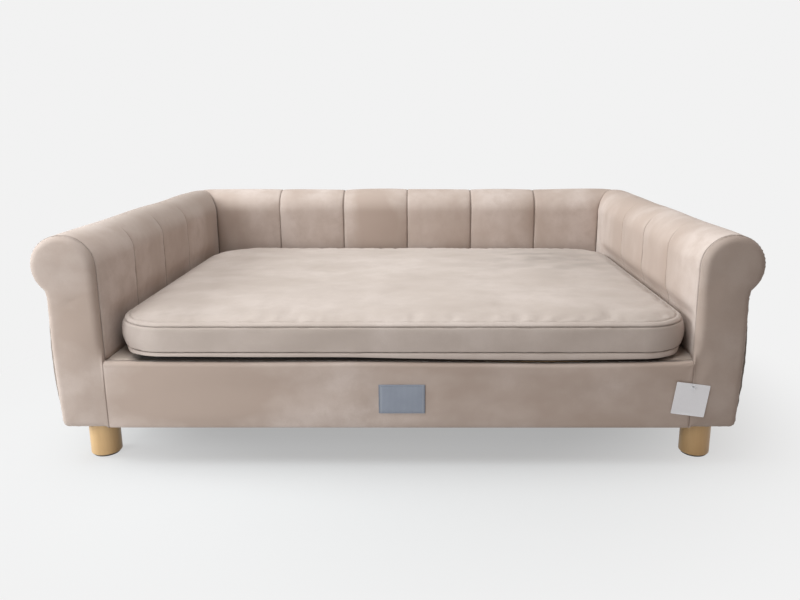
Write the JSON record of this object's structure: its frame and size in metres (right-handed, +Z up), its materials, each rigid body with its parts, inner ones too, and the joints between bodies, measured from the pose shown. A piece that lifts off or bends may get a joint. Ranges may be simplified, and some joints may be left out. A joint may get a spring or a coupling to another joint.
{
  "type": "dog sofa bed",
  "caption": "Low velvet sofa for a dog: channelled rolled arms and back round a loose zipped mattress, on short round screw-in wooden legs.",
  "frame": {"origin": "on the floor, under the middle of the sofa's footprint", "axes": "+Z up, +Y from the open front to the back, +X to the right of someone facing the sofa"},
  "size_m": [1.067, 0.7252, 0.357],
  "materials": {
    "velvet": "short-pile velvet, pink-beige, sheen towards grazing light",
    "deck_cloth": "plain dark lining cloth",
    "dust_cloth": "black non-woven cloth",
    "foam": "open-cell foam",
    "plywood": "raw plywood",
    "beech_frame": "raw sawn beech",
    "beech_leg": "clear satin lacquer over straight-grained beech",
    "hardboard": "raw hardboard",
    "steel": "zinc-plated",
    "brass": "bright",
    "patch": "smooth blue-grey woven patch, bare",
    "card": "coated white card",
    "clear_plastic": "clear nylon",
    "zip": "woven tape with moulded coil"
  },
  "bodies": {
    "frame": {"front_rail": "plywood", "side_rail_left": "plywood", "side_rail_right": "plywood", "back_rail": "plywood", "centre_beam": "plywood", "seat_deck": "plywood", "arm_front_board_left": "plywood", "arm_front_board_right": "plywood", "arm_inner_board_left": "plywood", "arm_inner_board_right": "plywood", "back_inner_board": "plywood", "deck_ledges": "beech_frame", "leg_blocks": "beech_frame", "arm_batten_left": "beech_frame", "arm_batten_right": "beech_frame", "back_batten": "beech_frame", "corner_posts": "beech_frame", "leg_inserts": "brass", "arm_outer_panel_left": "hardboard", "arm_outer_panel_right": "hardboard", "back_outer_panel": "hardboard", "arm_roll_core_left": "foam", "arm_roll_core_right": "foam", "back_roll_core": "foam", "corner_roll_cores": "foam", "arm_channel_pad_left": "velvet", "arm_channel_pad_right": "velvet", "back_channel_pad": "velvet", "arm_front_pad_left": "velvet", "arm_front_pad_right": "velvet", "front_rail_pad": "velvet", "arm_outer_cover_left": "velvet", "arm_outer_cover_right": "velvet", "back_outer_cover": "velvet", "deck_cover": "deck_cloth", "dust_cloth": "dust_cloth", "staples": "steel", "front_patch": "patch", "tag_pin": "clear_plastic"},
    "mattress": {"mattress_foam": "foam", "mattress_top_panel": "velvet", "mattress_border": "velvet", "mattress_bottom_panel": "velvet", "zip_tape": "zip", "zip_chain": "zip"},
    "zip_slider": {"zip_slider": "steel"},
    "zip_pull": {"zip_pull": "steel"},
    "swing_tag": {"swing_tag": "card"},
    "leg_washer_front_left": {"leg_washer_front_left": "steel"},
    "leg_front_left": {"leg_front_left": "beech_leg", "leg_bolt_front_left": "steel"},
    "leg_washer_front_right": {"leg_washer_front_right": "steel"},
    "leg_front_right": {"leg_front_right": "beech_leg", "leg_bolt_front_right": "steel"},
    "leg_washer_back_left": {"leg_washer_back_left": "steel"},
    "leg_back_left": {"leg_back_left": "beech_leg", "leg_bolt_back_left": "steel"},
    "leg_washer_back_right": {"leg_washer_back_right": "steel"},
    "leg_back_right": {"leg_back_right": "beech_leg", "leg_bolt_back_right": "steel"}
  },
  "joints": [
    {"name": "mattress_lift", "type": "slide", "parent": "frame", "child": "mattress", "axis": [0, 0, 1], "range_m": [0, 0.2]},
    {"name": "zip_slide", "type": "slide", "parent": "mattress", "child": "zip_slider", "axis": [-1, 0, 0], "range_m": [0, 0.55]},
    {"name": "zip_pull_swing", "type": "hinge", "parent": "zip_slider", "child": "zip_pull", "pos_m": [0.278, 0.2577, 0.199], "axis": [0, 1, 0], "range_deg": [-80, 80]},
    {"name": "tag_swing", "type": "hinge", "parent": "frame", "child": "swing_tag", "pos_m": [0.441, -0.3622, 0.1294], "axis": [0, 1, 0], "range_deg": [-87.5, 72.5]},
    {"name": "leg_travel_front_left", "type": "slide", "parent": "frame", "child": "leg_washer_front_left", "axis": [0, 0, 1], "range_m": [-0.015, 0]},
    {"name": "leg_turn_front_left", "type": "hinge", "parent": "leg_washer_front_left", "child": "leg_front_left", "pos_m": [-0.47, -0.3125, 0.0625], "axis": [0, 0, 1], "range_deg": [-4320, 0]},
    {"name": "leg_travel_front_right", "type": "slide", "parent": "frame", "child": "leg_washer_front_right", "axis": [0, 0, 1], "range_m": [-0.015, 0]},
    {"name": "leg_turn_front_right", "type": "hinge", "parent": "leg_washer_front_right", "child": "leg_front_right", "pos_m": [0.47, -0.3125, 0.0625], "axis": [0, 0, 1], "range_deg": [-4320, 0]},
    {"name": "leg_travel_back_left", "type": "slide", "parent": "frame", "child": "leg_washer_back_left", "axis": [0, 0, 1], "range_m": [-0.015, 0]},
    {"name": "leg_turn_back_left", "type": "hinge", "parent": "leg_washer_back_left", "child": "leg_back_left", "pos_m": [-0.47, 0.292, 0.0625], "axis": [0, 0, 1], "range_deg": [-4320, 0]},
    {"name": "leg_travel_back_right", "type": "slide", "parent": "frame", "child": "leg_washer_back_right", "axis": [0, 0, 1], "range_m": [-0.015, 0]},
    {"name": "leg_turn_back_right", "type": "hinge", "parent": "leg_washer_back_right", "child": "leg_back_right", "pos_m": [0.47, 0.292, 0.0625], "axis": [0, 0, 1], "range_deg": [-4320, 0]}
  ],
  "couplings": [
    {"joint": "leg_travel_front_left", "follows": "leg_turn_front_left", "m_per_rad": 0.00019894},
    {"joint": "leg_travel_front_right", "follows": "leg_turn_front_right", "m_per_rad": 0.00019894},
    {"joint": "leg_travel_back_left", "follows": "leg_turn_back_left", "m_per_rad": 0.00019894},
    {"joint": "leg_travel_back_right", "follows": "leg_turn_back_right", "m_per_rad": 0.00019894}
  ]
}
